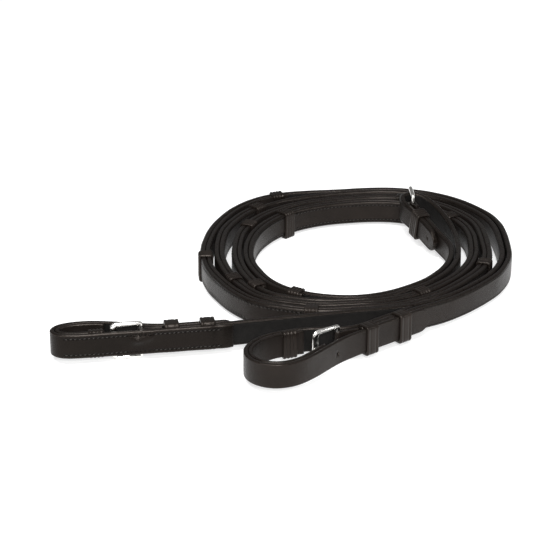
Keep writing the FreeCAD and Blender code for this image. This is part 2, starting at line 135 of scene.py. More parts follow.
def inner_radius(angle):
    """Radius of the left rein's inner face after turning through the angle."""
    if angle >= 360:
        return inner_radius(angle - 360) + pitch(angle - 360)
    hour = int(math.floor(angle / HOUR))
    f = angle / HOUR - hour

    def knot(k):
        if k < 0:
            return FIRST_TURN[0] - 0.5 * (FIRST_TURN[1] - FIRST_TURN[0]) * k
        if k >= 12:
            return FIRST_TURN[k - 12] + pitch((k - 12) * HOUR)
        return FIRST_TURN[k]

    a, b, c, d = knot(hour - 1), knot(hour), knot(hour + 1), knot(hour + 2)
    return b + 0.5 * f * (c - a + f * (2 * a - 5 * b + 4 * c - d + f * (3 * (b - c) + d - a)))


def coil_point(angle, radius):
    turn = math.radians(angle)
    return point(COIL_X + radius * math.cos(turn), COIL_Y - radius * math.sin(turn), COIL_Z) - ORIGIN


def left_radius(angle):
    return inner_radius(angle) + REIN / 2


def right_radius(angle):
    return inner_radius(angle) + pair_thickness(angle) - REIN / 2


def coil_route(radius, start, end, step=6.0):
    count = int(round((end - start) / step))
    return [coil_point(a, radius(a)) for a in np.linspace(start, end, count + 1)]


def place(x, y, height=END_Z):
    return point(x, y, height) - ORIGIN


class Line:
    """A straight stretch: s runs along the strap towards its free end, o across it."""

    def __init__(self, x, y, heading, side, height):
        turn = math.radians(heading)
        self.base = point(x, y, height)
        self.along = point(math.cos(turn), math.sin(turn), 0)
        self.across = point(-math.sin(turn), math.cos(turn), 0) * side
        self.heading = heading
        self.side = side

    def at(self, s, o=0.0, height=None):
        p = self.base + self.along * s + self.across * o - ORIGIN
        if height is not None:
            p[2] = height
        return p


LEFT = Line(-50.2, -115.8, 189.3, -1, END_Z)
RIGHT = Line(74.9, -99.4, 219.6, 1, END_Z)
BILLET_OFFSET = REIN / 2 + BILLET / 2 + 0.1
LAP_OFFSET = -(REIN / 2 + BILLET / 2 + GLUE)
CENTRE_Z = COIL_Z + 10.0
JOIN = Line(93.0, 72.0, 114.5, 1, CENTRE_Z)


# ------------------------------------------------------------ smooth paths
class Path:
    """A smooth line through points, read by its length along the line, in millimetres."""

    def __init__(self, points, spacing=0.5):
        p = np.array(points, float)
        chord = np.linalg.norm(np.diff(p, axis=0), axis=1)
        t = np.concatenate(([0.0], np.cumsum(chord)))
        m = self.slopes(t, p)
        fine = np.linspace(0, t[-1], int(t[-1] / spacing) + 2)
        k = np.clip(np.searchsorted(t, fine, side="right") - 1, 0, len(t) - 2)
        h = (t[k + 1] - t[k])[:, None]
        f = ((fine - t[k]) / (t[k + 1] - t[k]))[:, None]
        self.points = ((2 * f ** 3 - 3 * f ** 2 + 1) * p[k] + (f ** 3 - 2 * f ** 2 + f) * h * m[k]
                       + (-2 * f ** 3 + 3 * f ** 2) * p[k + 1] + (f ** 3 - f ** 2) * h * m[k + 1])
        runs = np.linalg.norm(np.diff(self.points, axis=0), axis=1)
        self.s = np.concatenate(([0.0], np.cumsum(runs)))
        self.length = self.s[-1]

    @staticmethod
    def slopes(t, p):
        """Slopes of the twice-smooth cubic, with parabola ends."""
        n = len(t)
        h = np.diff(t)
        d = np.diff(p, axis=0) / h[:, None]
        a = np.zeros((n, n))
        r = np.zeros((n, 3))
        for i in range(1, n - 1):
            a[i, i - 1], a[i, i], a[i, i + 1] = h[i], 2 * (h[i - 1] + h[i]), h[i - 1]
            r[i] = 3 * (h[i] * d[i - 1] + h[i - 1] * d[i])
        a[0, 0] = a[-1, -1] = 1
        r[0] = d[0] - (d[1] - d[0]) * h[0] / (h[0] + h[1])
        r[-1] = d[-1] + (d[-1] - d[-2]) * h[-1] / (h[-1] + h[-2])
        return np.linalg.solve(a, r)

    def at(self, s):
        """Points, flat tangents, left-hand sides and slopes at lengths s."""
        s = np.atleast_1d(np.asarray(s, float))
        p = np.stack([np.interp(s, self.s, self.points[:, i]) for i in range(3)], 1)
        lo = np.clip(s - 0.4, 0, self.length)
        hi = np.clip(s + 0.4, 0, self.length)
        step = np.stack([np.interp(hi, self.s, self.points[:, i])
                         - np.interp(lo, self.s, self.points[:, i]) for i in range(3)], 1)
        flat = np.linalg.norm(step[:, :2], axis=1)[:, None]
        tangent = np.concatenate((step[:, :2] / flat, np.zeros((len(s), 1))), 1)
        side = np.stack((-tangent[:, 1], tangent[:, 0], np.zeros(len(s))), 1)
        return p, tangent, side, step[:, 2:] / flat

    def nearest(self, target):
        """Length along the line at the point nearest to a place."""
        return float(self.s[np.argmin(np.linalg.norm(self.points - target, axis=1))])

    def offset(self, start, end, distance, step=4.0):
        """A path beside this one, between two lengths."""
        s = np.linspace(start, end, max(8, int(abs(end - start) / step)))
        p, _, side, _ = self.at(s)
        return Path(p + side * distance)


def beside(path, line, offset, stations):
    """Places next to a rein, at stations along its end."""
    places = []
    for s in stations:
        p, _, side, _ = path.at(path.nearest(line.at(s)))
        places.append(p[0] + side[0] * offset * line.side)
    return places


# ------------------------------------------------------------ routes of the straps
# The left rein climbs to the centre buckle; the right rein's tip turns back through it. The pairs
# and triples are station and rise, and for the tip also its step away from the left rein.
JOIN_RISE = [(-52, 0.4), (-38, 2.6), (-24, 5.2), (-7, 8.6)]
TIP_GAP = REIN + 0.12
TIP_RUN = [(-41, 2.0, 0), (-31, 3.9, 0), (-20, 6.0, 0), (-10, 8.0, 0.1), (-1.5, 9.6, 1.1)]

left_points = [JOIN.at(s, 0, COIL_Z + rise) for s, rise in reversed(JOIN_RISE)]
left_points += coil_route(left_radius, 0, 756)
left_points += [
    place(98.0, -72.2, COIL_Z),
    place(84.6, -80.0, COIL_Z + 0.3),
    place(62.1, -87.4, COIL_Z + 0.9),
    place(37.0, -94.2, COIL_Z + 1.5),
    place(8.0, -102.4, COIL_Z + 2.1),
    place(-18.0, -109.2, END_Z),
    LEFT.at(-14), LEFT.at(-3), LEFT.at(9), LEFT.at(21.5),
]
left_path = Path(left_points)

right_points = [JOIN.at(s, TIP_GAP + away, COIL_Z + rise) for s, rise, away in TIP_RUN]
right_points += [
    place(86.2, 76.5, CENTRE_Z + 0.6),
    place(86.8, 82.6, CENTRE_Z + 1.2),
    place(91.3, 86.3, CENTRE_Z + 1.6),
    place(97.8, 85.9, CENTRE_Z + 1.2),
    place(105.2, 81.0, COIL_Z + 8.6),
    place(112.0, 71.0, COIL_Z + 5.4),
    place(117.0, 58.6, COIL_Z + 2.4),
    place(119.8, 44.5, COIL_Z + 0.5),
]
right_points += coil_route(right_radius, 0, 762)
right_points += [
    place(103.4, -75.4, COIL_Z + 0.6),
    place(94.6, -82.9, COIL_Z + 1.5),
    RIGHT.at(-13), RIGHT.at(-2), RIGHT.at(10), RIGHT.at(22), RIGHT.at(33.0),
]
right_path = Path(right_points)

# The billet is lapped on the rein's flesh side, turns round the bit loop and comes back outside.
left_billet_points = beside(left_path, LEFT, BILLET_OFFSET, (-24, -12, 2, 14))
left_billet_points += [LEFT.at(s, o) for s, o in (
    (24, BILLET_OFFSET + 0.7), (35, 6.4), (46, 10.0), (57, 13.2), (69, 15.2), (79, 14.6),
    (86.8, 11.4), (90.0, 5.6), (87.0, 0.0), (79, -2.9), (70, LAP_OFFSET), (58, LAP_OFFSET),
    (44, LAP_OFFSET), (30, LAP_OFFSET))]
left_billet_points += beside(left_path, LEFT, LAP_OFFSET, (18, 8, -2, -12, -21))
left_billet_path = Path(left_billet_points)

right_billet_points = beside(right_path, RIGHT, BILLET_OFFSET, (-21, -9, 2, 13, 24))
right_billet_points += [RIGHT.at(34, BILLET_OFFSET + 0.3), RIGHT.at(46.2, BILLET_OFFSET + 0.7)]
right_billet_points += [place(x, y) for x, y in (
    (29.2, -146.6), (20.0, -158.6), (10.0, -168.2), (-3.0, -172.2), (-13.6, -168.2),
    (-19.6, -159.4), (-20.4, -149.4), (-16.6, -140.2), (-9.4, -132.0), (2.0, -125.6),
    (14.0, -121.8), (28.0, -120.4), (39.0, -119.8))]
right_billet_points += [RIGHT.at(33, LAP_OFFSET - 0.9)]
right_billet_points += beside(right_path, RIGHT, LAP_OFFSET, (25, 16, 7, -2, -12))
right_billet_path = Path(right_billet_points)

LOOP_OFFSET = BILLET / 2 + LOOP_LINING / 2 + GLUE
left_loop_path = left_billet_path.offset(left_billet_path.nearest(left_billet_points[7]),
                                         left_billet_path.nearest(left_billet_points[15]), LOOP_OFFSET)
right_loop_path = right_billet_path.offset(right_billet_path.nearest(right_billet_points[7]),
                                           right_billet_path.nearest(right_billet_points[17]),
                                           -LOOP_OFFSET)
LINING_OFFSET = REIN / 2 + GLUE + LINING / 2


def grip_ends(path, radius, span):
    return [path.nearest(coil_point(a, radius(a))) for a in span]


left_grip_ends = grip_ends(left_path, left_radius, LEFT_GRIP)
right_grip_ends = grip_ends(right_path, right_radius, RIGHT_GRIP)
left_lining_path = left_path.offset(*left_grip_ends, LINING_OFFSET)
right_lining_path = right_path.offset(*right_grip_ends, -LINING_OFFSET)

# ------------------------------------------------------------ places of the buckles
LEFT_HEEL = LEFT.at(35.5, 0.7)
RIGHT_HEEL = place(35.6, -125.6)
CENTRE_LIFT = 1.2
CENTRE_HEEL = JOIN.at(0) + UP * CENTRE_LIFT
RIGHT_HEADING, RIGHT_CHAPE_HEADING, CENTRE_HEADING = 215.0, 199.0, 93.0


# ------------------------------------------------------------ mesh helpers
def new_piece(name, vertices, faces, materials, face_materials=None, uv=None):
    """A mesh object from points in millimetres; uv is one pair per face corner."""
    mesh = bpy.data.meshes.new(name)
    mesh.from_pydata((np.asarray(vertices) * MM).tolist(), [], faces)
    for material in materials:
        mesh.materials.append(material)
    if face_materials is not None:
        mesh.polygons.foreach_set("material_index", np.asarray(face_materials, np.int32))
    if uv is not None:
        layer = mesh.uv_layers.new(name="along")
        layer.data.foreach_set("uv", np.asarray(uv, np.float32).ravel())
    mesh.polygons.foreach_set("use_smooth", np.ones(len(mesh.polygons), bool))
    mesh.update()
    piece = bpy.data.objects.new(name, mesh)
    bpy.context.scene.collection.objects.link(piece)
    return piece


def ring_faces(rings, sides, closed=False):
    """Faces of a skin over rings of points, capped at both ends unless it closes on itself."""
    faces = []
    for i in range(rings if closed else rings - 1):
        i2 = (i + 1) % rings
        for j in range(sides):
            k = (j + 1) % sides
            faces.append((i * sides + j, i2 * sides + j, i2 * sides + k, i * sides + k))
    if not closed:
        faces.append(tuple(reversed(range(sides))))
        faces.append(tuple((rings - 1) * sides + j for j in range(sides)))
    return faces


FACE_LEFT, FACE_RIGHT, EDGE = 0, 1, 2


CREASE_INSET = 1.6


def strap_section(thickness, width, crease=0.0, fine=False):
    """Points round a strap's section, as (across, height, part, running measure).

    crease is the depth of the line that is pressed in beside each edge.
    """
    half, tall = thickness / 2, width / 2
    r = min(1.25, half * 0.72)
    crown = 0.06
    levels = [0.0, 0.12, 0.24, 0.36, 0.47, 0.57, 0.66, 0.75] if fine else [0.0, 0.38, 0.62, 0.74]
    marks = [(v, 0.0) for v in levels]
    if crease:
        marks += [(1 - (CREASE_INSET + inset) / tall, depth)
                  for inset, depth in ((0.5, 0.0), (0.15, crease), (0.0, crease), (-0.35, 0.0))]
    marks += [(1 - r / tall, 0.02)]
    marks = sorted(m for m in marks if m[0] <= 1 - r / tall + 1e-9)
    side = [(-v, d) for v, d in reversed(marks) if v > 0] + marks
    rows = []
    for v, d in side:
        rows.append((half - crown * v * v - d, v * tall, FACE_LEFT, v * tall))
    arc = [(half - r + r * math.cos(a), tall - r + r * math.sin(a))
           for a in (0.35, 0.75, 1.15, math.pi / 2)]
    arc = arc + [(-x, z) for x, z in reversed(arc)]
    rows += [(x, z, EDGE, x) for x, z in arc]
    for v, d in reversed(side):
        rows.append((-(half - crown * v * v - d), v * tall, FACE_RIGHT, v * tall))
    rows += [(-x, -z, EDGE, -x) for x, z in arc]
    return rows


WAVE_COUNT, WAVE_DEPTH = 7, 0.022


def handling(s, height, seed):
    """Slow waves left in the leather by handling, up to about a tenth of a millimetre."""
    rng = np.random.default_rng(seed)
    total = np.zeros(np.broadcast(s, height).shape)
    for _ in range(WAVE_COUNT):
        long = rng.uniform(14.0, 46.0)
        lean, turn = rng.uniform(-0.25, 0.25), rng.uniform(0, 6.28)
        total = total + np.sin(2 * math.pi * s / long + lean * height + turn)
    return total * WAVE_DEPTH


END_SCALE, END_ROUND = 0.82, 0.22


def strap(name, path, thickness, materials, width=WIDTH, tip=0.0, spacing=2.2, crease=0.0,
          relief=None, start=0.0, end=None, waves=1.0, seed=1, fine=False):
    """A strap with rounded edges and creased faces; tip rounds its first end off."""
    end = path.length if end is None else end
    count = max(6, int((end - start) / spacing))
    s = np.linspace(start, end, count + 1)
    s = np.concatenate(([start + 0.25], s[1:-1], [end - 0.25]))
    if tip:
        nose = start + tip * (1 - np.cos(np.linspace(0, math.pi / 2, 9)))
        s = np.concatenate((nose[:-1] + 0.02, s[s > start + tip]))
    shrink = np.ones(len(s))
    if tip:
        d = np.clip((s - start) / tip, 0, 1)
        shrink = np.sqrt(np.clip(1 - (1 - d) ** 2, 0.0004, 1))
    rows = strap_section(thickness, width, crease, fine)
    p, _, side, _ = path.at(s)
    across = np.array([r[0] for r in rows])
    height = np.array([r[1] for r in rows])
    n, m = len(s), len(rows)
    shift = waves * handling(s[:, None], height[None, :], seed)
    if relief is not None:
        shift = shift + relief(s[:, None], height[None, :], across[None, :])
    deep = across[None, :] + shift
    v = (p[:, None, :] + side[:, None, :] * deep[:, :, None]
         + UP * (height[None, :] * shrink[:, None])[:, :, None])
    # the ends are eased in so that their corners are soft
    caps = []
    end_height = 1 - (1 - END_SCALE) * thickness / width
    for station, outward in ((0, -END_ROUND), (n - 1, END_ROUND)):
        t = path.at(s[station])[1][0]
        ring = p[station] + side[station] * (across * END_SCALE + shift[station])[:, None]
        ring = ring + UP * (height * shrink[station] * end_height)[:, None]
        caps.append(ring + t * outward)
    vertices = np.concatenate([v.reshape(-1, 3)] + caps)
    faces, parts, uv = [], [], []
    part = [r[2] for r in rows]
    run = [r[3] for r in rows]

    def quad(a, b, j, k, sa, sb):
        faces.append((a + j, b + j, b + k, a + k))
        parts.append(part[j] if part[j] == part[k] else EDGE)
        uv.extend(((sa, run[j]), (sb, run[j]), (sb, run[k]), (sa, run[k])))

    first_cap, last_cap = n * m, n * m + m
    for j in range(m):
        k = (j + 1) % m
        for i in range(n - 1):
            quad(i * m, i * m + m, j, k, s[i], s[i + 1])
        quad(first_cap, 0, j, k, s[0], s[0])
        quad((n - 1) * m, last_cap, j, k, s[-1], s[-1])
    faces.append(tuple(first_cap + j for j in range(m)))
    faces.append(tuple(last_cap + j for j in reversed(range(m))))
    parts += [EDGE, EDGE]
    uv += [(s[0], run[j]) for j in range(m)] + [(s[-1], run[j]) for j in reversed(range(m))]
    return new_piece(name, vertices, faces, materials, parts, np.array(uv) * MM)


STITCH = 2.75
THREAD_LENGTH, THREAD_WIDTH, THREAD_RISE = 1.45, 0.66, 0.28


def stitches(name, rows, material):
    """Threads along straps; a row is (path, start, end, across, height, lean, gaps)."""
    rings, sides = 5, 6
    faces = ring_faces(rings, sides)
    template = []
    for i in range(rings):
        u = -1 + 2 * i / (rings - 1)
        fat = math.sqrt(max(0.0, 1 - 0.82 * u * u))
        for j in range(sides):
            a = 2 * math.pi * j / sides
            template.append((u * THREAD_LENGTH / 2, math.cos(a) * fat * THREAD_WIDTH / 2,
                             math.sin(a) * fat * THREAD_RISE - 0.10 * u * u))
    template = np.array(template)
    all_vertices, all_faces = [], []
    count = 0
    for path, start, end, across, height, lean, gaps in rows:
        s = STITCH * np.arange(math.ceil(start / STITCH), math.floor(end / STITCH) + 1)
        for a, b in gaps:
            s = s[(s < a) | (s > b)]
        p, t, side, slope = path.at(s)
        outward = np.sign(across)
        ahead = t + UP * slope
        along = ahead * math.cos(lean) + UP * math.sin(lean)
        over = UP * math.cos(lean) - ahead * math.sin(lean)
        base = p + side * across + UP * height
        block = (base[:, None, :] + along[:, None, :] * template[None, :, 0:1]
                 + over[:, None, :] * template[None, :, 1:2]
                 + side[:, None, :] * outward * template[None, :, 2:3])
        all_vertices.append(block.reshape(-1, 3))
        for i in range(len(s)):
            base_index = count + i * len(template)
            all_faces += [tuple(base_index + v for v in f) for f in faces]
        count += len(s) * len(template)
    return new_piece(name, np.concatenate(all_vertices), all_faces, [material])


def rounded_loop(half_a, half_h, radius, corner_steps=4):
    """A closed rounded rectangle of (across, height) points with its outward directions."""
    points, outs = [], []
    centres = ((1, 1), (-1, 1), (-1, -1), (1, -1))
    for q, (sa, sh) in enumerate(centres):
        for k in range(corner_steps + 1):
            a = math.pi / 2 * (q + k / corner_steps)
            out = (math.cos(a), math.sin(a))
            points.append((sa * (half_a - radius) + radius * out[0],
                           sh * (half_h - radius) + radius * out[1]))
            outs.append(out)
    # long sides are split so that the ribs' light follows the leather
    full, full_out = [], []
    n = len(points)
    for i in range(n):
        a, b = points[i], points[(i + 1) % n]
        full.append(a)
        full_out.append(outs[i])
        gap = math.hypot(b[0] - a[0], b[1] - a[1])
        for k in range(1, int(gap / 2.5) + 1):
            f = k / (int(gap / 2.5) + 1)
            full.append((a[0] + (b[0] - a[0]) * f, a[1] + (b[1] - a[1]) * f))
            full_out.append(outs[i])
    return np.array(full), np.array(full_out)


def band(name, centre, tangent, stack, length, wall, reach, material, slope=0.0,
         ribs=(0.25, 0.25, 0.25, 0.25), valley=0.0, seed=0, above=1.0):
    """A pressed leather band with rounded ribs, closed round a stack of straps.

    ribs are shares of the band's length; valley is how full the hollows between them are. reach
    and above say how far the band goes past the straps' lower and upper edges.
    """
    ahead = tangent * math.cos(slope) + UP * math.sin(slope)
    side = np.array((-tangent[1], tangent[0], 0.0))
    over = np.cross(ahead, side)
    half_a, half_h = stack / 2 + FIT, WIDTH / 2 + FIT
    rib_height = RIB + 0.2
    steps = np.arange(8) / 8
    ends = np.concatenate(([0.0], np.cumsum(ribs)))
    x = np.concatenate([start + share * steps for start, share in zip(ends, ribs)] + [[1.0]])
    x = (x - 0.5) * length
    stations = len(x)
    humps = [np.sin(np.pi * steps) ** (0.125 / share) for share in ribs]
    rise = rib_height * (valley + (1 - valley) * np.concatenate(humps + [[0.0]]))
    lip = np.clip((length / 2 - np.abs(x)) / 0.5, 0, 1)
    lip = np.sqrt(np.clip(1 - (1 - lip) ** 2, 0, 1))
    outer_a = half_a + wall - rib_height
    outer_h = half_h + (reach + above) / 2 - rib_height
    loop, outs = rounded_loop(outer_a, outer_h, 1.5)
    inner = loop * np.array((half_a / outer_a, half_h / outer_h))
    loop = loop - np.array((0.0, (reach - above) / 2))
    m = len(loop)
    rng = np.random.default_rng(seed)
    wobble = 0.05 * rng.standard_normal(stations)
    rows = []
    for i in range(stations):
        grow = rise[i] + wobble[i] * (0 < i < stations - 1)
        ring = loop + outs * grow
        ring = inner + (ring - inner) * (0.45 + 0.55 * lip[i])
        rows.append(centre + ahead * x[i] + side * ring[:, 0:1] + over * ring[:, 1:2])
    rows.append(centre + ahead * x[-1] + side * inner[:, 0:1] + over * inner[:, 1:2])
    rows.append(centre + ahead * x[0] + side * inner[:, 0:1] + over * inner[:, 1:2])
    vertices = np.concatenate(rows)
    faces, uv = [], []
    total = len(rows)
    around = np.concatenate(([0.0], np.cumsum(np.linalg.norm(np.diff(loop, axis=0), axis=1))))
    row_x = list(x) + [x[-1] + 1.0, x[0] - 1.0]
    for i in range(total):
        i2 = (i + 1) % total
        for j in range(m):
            k = (j + 1) % m
            faces.append((i * m + j, i * m + k, i2 * m + k, i2 * m + j))
            end = around[k] if k else around[-1] + 1.0
            uv += [(row_x[i], around[j]), (row_x[i], end)]
            uv += [(row_x[i2], end), (row_x[i2], around[j])]
    return new_piece(name, vertices, faces, [material], None, np.array(uv) * MM)


def tube(name, line, radii, material, sides, closed=False, upright=UP):
    """A bar of oval section along points; radii is one (across, over) pair per point."""
    line = np.asarray(line, float)
    n = len(line)
    rows = []
    for i in range(n):
        a = line[(i - 1) % n] if closed or i else line[i]
        b = line[(i + 1) % n] if closed or i < n - 1 else line[i]
        t = (b - a) / np.linalg.norm(b - a)
        normal = upright - t * (upright @ t)
        normal = normal / np.linalg.norm(normal)
        other = np.cross(t, normal)
        turn = np.linspace(0, 2 * math.pi, sides, endpoint=False)
        rows.append(line[i] + np.outer(np.cos(turn) * radii[i][0], other)
                    + np.outer(np.sin(turn) * radii[i][1], normal))
    return new_piece(name, np.concatenate(rows), ring_faces(n, sides, closed), [material])


# ------------------------------------------------------------ materials
def nodes_of(name):
    """A new material with its node tree and its shader."""
    material = bpy.data.materials.new(name)
    material.use_nodes = True
    tree = material.node_tree
    tree.nodes.clear()
    shader = tree.nodes.new("ShaderNodeBsdfPrincipled")
    out = tree.nodes.new("ShaderNodeOutputMaterial")
    tree.links.new(shader.outputs["BSDF"], out.inputs["Surface"])
    return material, tree, shader


def feed(tree, made, inputs):
    """Sets a node's inputs to values or links them to other nodes' outputs."""
    for key, value in inputs.items():
        if hasattr(value, "is_output"):
            tree.links.new(value, made.inputs[key])
        else:
            made.inputs[key].default_value = value


def node(tree, kind, inputs=None, **settings):
    made = tree.nodes.new(kind)
    for key, value in settings.items():
        setattr(made, key, value)
    feed(tree, made, inputs or {})
    return made


def math_node(tree, operation, a, b=0.0, c=0.0):
    return node(tree, "ShaderNodeMath", {0: a, 1: b, 2: c}, operation=operation).outputs[0]


def times(tree, a, b):
    return math_node(tree, "MULTIPLY", a, b)


def noise(tree, coordinates, scale, detail=3.0, roughness=0.55):
    return node(tree, "ShaderNodeTexNoise", {"Vector": coordinates, "Scale": scale, "Detail": detail,
                                             "Roughness": roughness}).outputs["Fac"]


def mix_colour(tree, factor, a, b):
    a, b = (value if hasattr(value, "is_output") else (*value, 1.0) for value in (a, b))
    return node(tree, "ShaderNodeMix", {"Factor": factor, 6: a, 7: b}, data_type="RGBA").outputs[2]


def ramp(tree, value, low, high, start=0.0, end=1.0):
    return node(tree, "ShaderNodeMapRange", {"Value": value, "From Min": low, "From Max": high,
                                             "To Min": start, "To Max": end}).outputs["Result"]


def add_bump(tree, shader, height, strength, distance):
    bump = node(tree, "ShaderNodeBump", {"Height": height, "Strength": strength, "Distance": distance})
    tree.links.new(bump.outputs["Normal"], shader.inputs["Normal"])


WARM = (1.0, 0.88, 0.80, 1.0)
CREASE_LINE = WIDTH / 2 - CREASE_INSET


def leather_material(name, dark, light, roughness, pore=0.55, pore_depth=0.05, wrinkle_depth=0.10,
                     specular=0.17, edge_wear=0.35, stitched=None, crease=0.0, bump_size=1.0):
    """Finished leather: pores, fine wrinkles, handling marks and paler worn edges, with painted shade in the
    crease line and the stitch holes when these are asked for.
    """
    material, tree, shader = nodes_of(name)
    where = node(tree, "ShaderNodeTexCoord").outputs["Object"]
    along = node(tree, "ShaderNodeUVMap", uv_map="along").outputs["UV"]
    split = node(tree, "ShaderNodeSeparateXYZ", {"Vector": along})
    height = math_node(tree, "ABSOLUTE", split.outputs["Y"])
    pores = node(tree, "ShaderNodeTexVoronoi", {"Vector": where, "Scale": 1000.0 / pore},
                 feature="DISTANCE_TO_EDGE").outputs["Distance"]
    cells = ramp(tree, pores, 0.0, 0.16)
    wrinkles = noise(tree, where, 420.0, 5.0, 0.62)
    marks = noise(tree, where, 55.0, 4.0, 0.6)
    broad = noise(tree, where, 16.0, 2.0, 0.5)
    tone = math_node(tree, "MULTIPLY_ADD", marks, 0.7, times(tree, broad, 0.5))
    colour = mix_colour(tree, ramp(tree, tone, 0.42, 0.82), dark, light)
    worn = times(tree, ramp(tree, height, 0.0068, 0.0079),
                 ramp(tree, wrinkles, 0.42, 0.66, 0.0, edge_wear))
    colour = mix_colour(tree, worn, colour, tuple(2.6 * c for c in light))
    relief = math_node(tree, "MULTIPLY_ADD", wrinkles, wrinkle_depth, times(tree, cells, pore_depth))
    if crease:
        # painted shade along the line pressed in beside each edge: the colour is darkened towards near-black
        # there
        from_line = math_node(tree, "ABSOLUTE", math_node(tree, "SUBTRACT", height, CREASE_LINE * MM))
        line = ramp(tree, from_line, 0.0002, 0.0005, crease, 0.0)
        colour = mix_colour(tree, line, colour, (0.0015, 0.0012, 0.001))
    if stitched:
        # painted shade in the hollows where the thread goes into the leather, between the stitches: the
        # colour is darkened to near-black there, and the bump also sinks them
        row, first, last = (value * MM for value in stitched)
        phase = math_node(tree, "FRACT", math_node(tree, "DIVIDE", split.outputs["X"], STITCH * MM))
        over = math_node(tree, "DIVIDE", math_node(tree, "SUBTRACT", phase, 0.5), 0.3)
        up = math_node(tree, "DIVIDE", math_node(tree, "SUBTRACT", height, row), 0.0007)
        far = math_node(tree, "ADD", times(tree, over, over), times(tree, up, up))
        pit = ramp(tree, far, 0.6, 1.3, 1.0, 0.0)
        inside = times(tree, math_node(tree, "GREATER_THAN", split.outputs["X"], first),
                       math_node(tree, "LESS_THAN", split.outputs["X"], last))
        pit = times(tree, pit, inside)
        colour = mix_colour(tree, pit, colour, (0.0008, 0.0007, 0.0006))
        relief = math_node(tree, "SUBTRACT", relief, times(tree, pit, 0.5))
    rough = math_node(tree, "MULTIPLY_ADD", marks, 0.22, roughness - 0.11)
    feed(tree, shader, {"Base Color": colour, "Roughness": rough, "Specular IOR Level": specular,
                        "Specular Tint": WARM})
    add_bump(tree, shader, relief, 0.85, bump_size * MM)
    return material


def flesh_material(name, dark, light):
    """The napped underside of the leather."""
    material, tree, shader = nodes_of(name)
    where = node(tree, "ShaderNodeTexCoord").outputs["Object"]
    nap = noise(tree, where, 1500.0, 4.0, 0.7)
    clumps = noise(tree, where, 260.0, 4.0, 0.6)
    fibres = math_node(tree, "MULTIPLY_ADD", nap, 0.6, times(tree, clumps, 0.6))
    feed(tree, shader, {"Base Color": mix_colour(tree, ramp(tree, fibres, 0.4, 0.85), dark, light),
                        "Roughness": ramp(tree, clumps, 0.2, 0.8, 0.55, 0.8),
                        "Specular IOR Level": 0.11})
    add_bump(tree, shader, fibres, 0.8, 0.0006)
    return material


def edge_material(name, dark, light):
    """Cut edges, dyed and burnished, with the layers showing as fine lines along them."""
    material, tree, shader = nodes_of(name)
    where = node(tree, "ShaderNodeTexCoord").outputs["Object"]
    along = node(tree, "ShaderNodeUVMap", uv_map="along").outputs["UV"]
    split = node(tree, "ShaderNodeSeparateXYZ", {"Vector": along})
    wander = noise(tree, where, 90.0, 2.0)
    across = math_node(tree, "MULTIPLY_ADD", wander, 0.0006, split.outputs["Y"])
    layer = math_node(tree, "SINE", times(tree, across, 9500.0))
    fuzz = noise(tree, where, 900.0, 4.0, 0.65)
    relief = math_node(tree, "MULTIPLY_ADD", layer, 0.18, fuzz)
    tone = math_node(tree, "MULTIPLY_ADD", layer, 0.16, fuzz)
    feed(tree, shader, {"Base Color": mix_colour(tree, ramp(tree, tone, 0.3, 0.8), dark, light),
                        "Roughness": ramp(tree, fuzz, 0.3, 0.7, 0.24, 0.38),
                        "Specular IOR Level": 0.22, "Specular Tint": WARM})
    add_bump(tree, shader, relief, 0.5, 0.0002)
    return material


def nickel_material():
    """Bright nickel plate, a little clouded, with fine upright scratches."""
    material, tree, shader = nodes_of("nickel_plate")
    where = node(tree, "ShaderNodeTexCoord").outputs["Object"]
    cloud = noise(tree, where, 140.0, 3.0)
    drawn_out = node(tree, "ShaderNodeMapping", {"Vector": where, "Scale": (300.0, 300.0, 4200.0)})
    scratches = node(tree, "ShaderNodeTexNoise", {"Vector": drawn_out.outputs[0], "Scale": 1.0,
                                                  "Detail": 2.0}).outputs["Fac"]
    tint = mix_colour(tree, ramp(tree, cloud, 0.3, 0.7), (0.74, 0.72, 0.69), (0.86, 0.85, 0.82))
    dull = ramp(tree, math_node(tree, "ADD", cloud, scratches), 0.7, 1.3, 0.12, 0.26)
    feed(tree, shader, {"Metallic": 1.0, "Base Color": tint, "Roughness": dull})
    add_bump(tree, shader, scratches, 0.12, 0.0001)
    return material


def thread_material():
    """Dark waxed thread with its twist."""
    material, tree, shader = nodes_of("waxed_thread")
    where = node(tree, "ShaderNodeTexCoord").outputs["Object"]
    twist = node(tree, "ShaderNodeTexWave", {"Vector": where, "Scale": 900.0, "Distortion": 2.0,
                                             "Detail": 1.0}).outputs["Fac"]
    tint = mix_colour(tree, twist, (0.006, 0.0048, 0.004), (0.018, 0.0145, 0.0125))
    feed(tree, shader, {"Base Color": tint, "Roughness": 0.42, "Specular IOR Level": 0.4})
    add_bump(tree, shader, twist, 0.5, 0.0002)
    return material


DARK, LIGHT = (0.0040, 0.0030, 0.0025), (0.0092, 0.0069, 0.0057)
# Rows of stitches: their height from the strap's middle, and the stretches that are sewn.
ROW = 5.4
GRIP_INSET = 6.0
left_sewn = (left_grip_ends[0] + GRIP_INSET, left_grip_ends[1] - GRIP_INSET)
right_sewn = (right_grip_ends[0] + GRIP_INSET, right_grip_ends[1] - GRIP_INSET)
lap_sewn = (left_billet_path.nearest(LEFT.at(83, -1.5)),
            left_billet_path.nearest(LEFT.at(-14, LAP_OFFSET)))

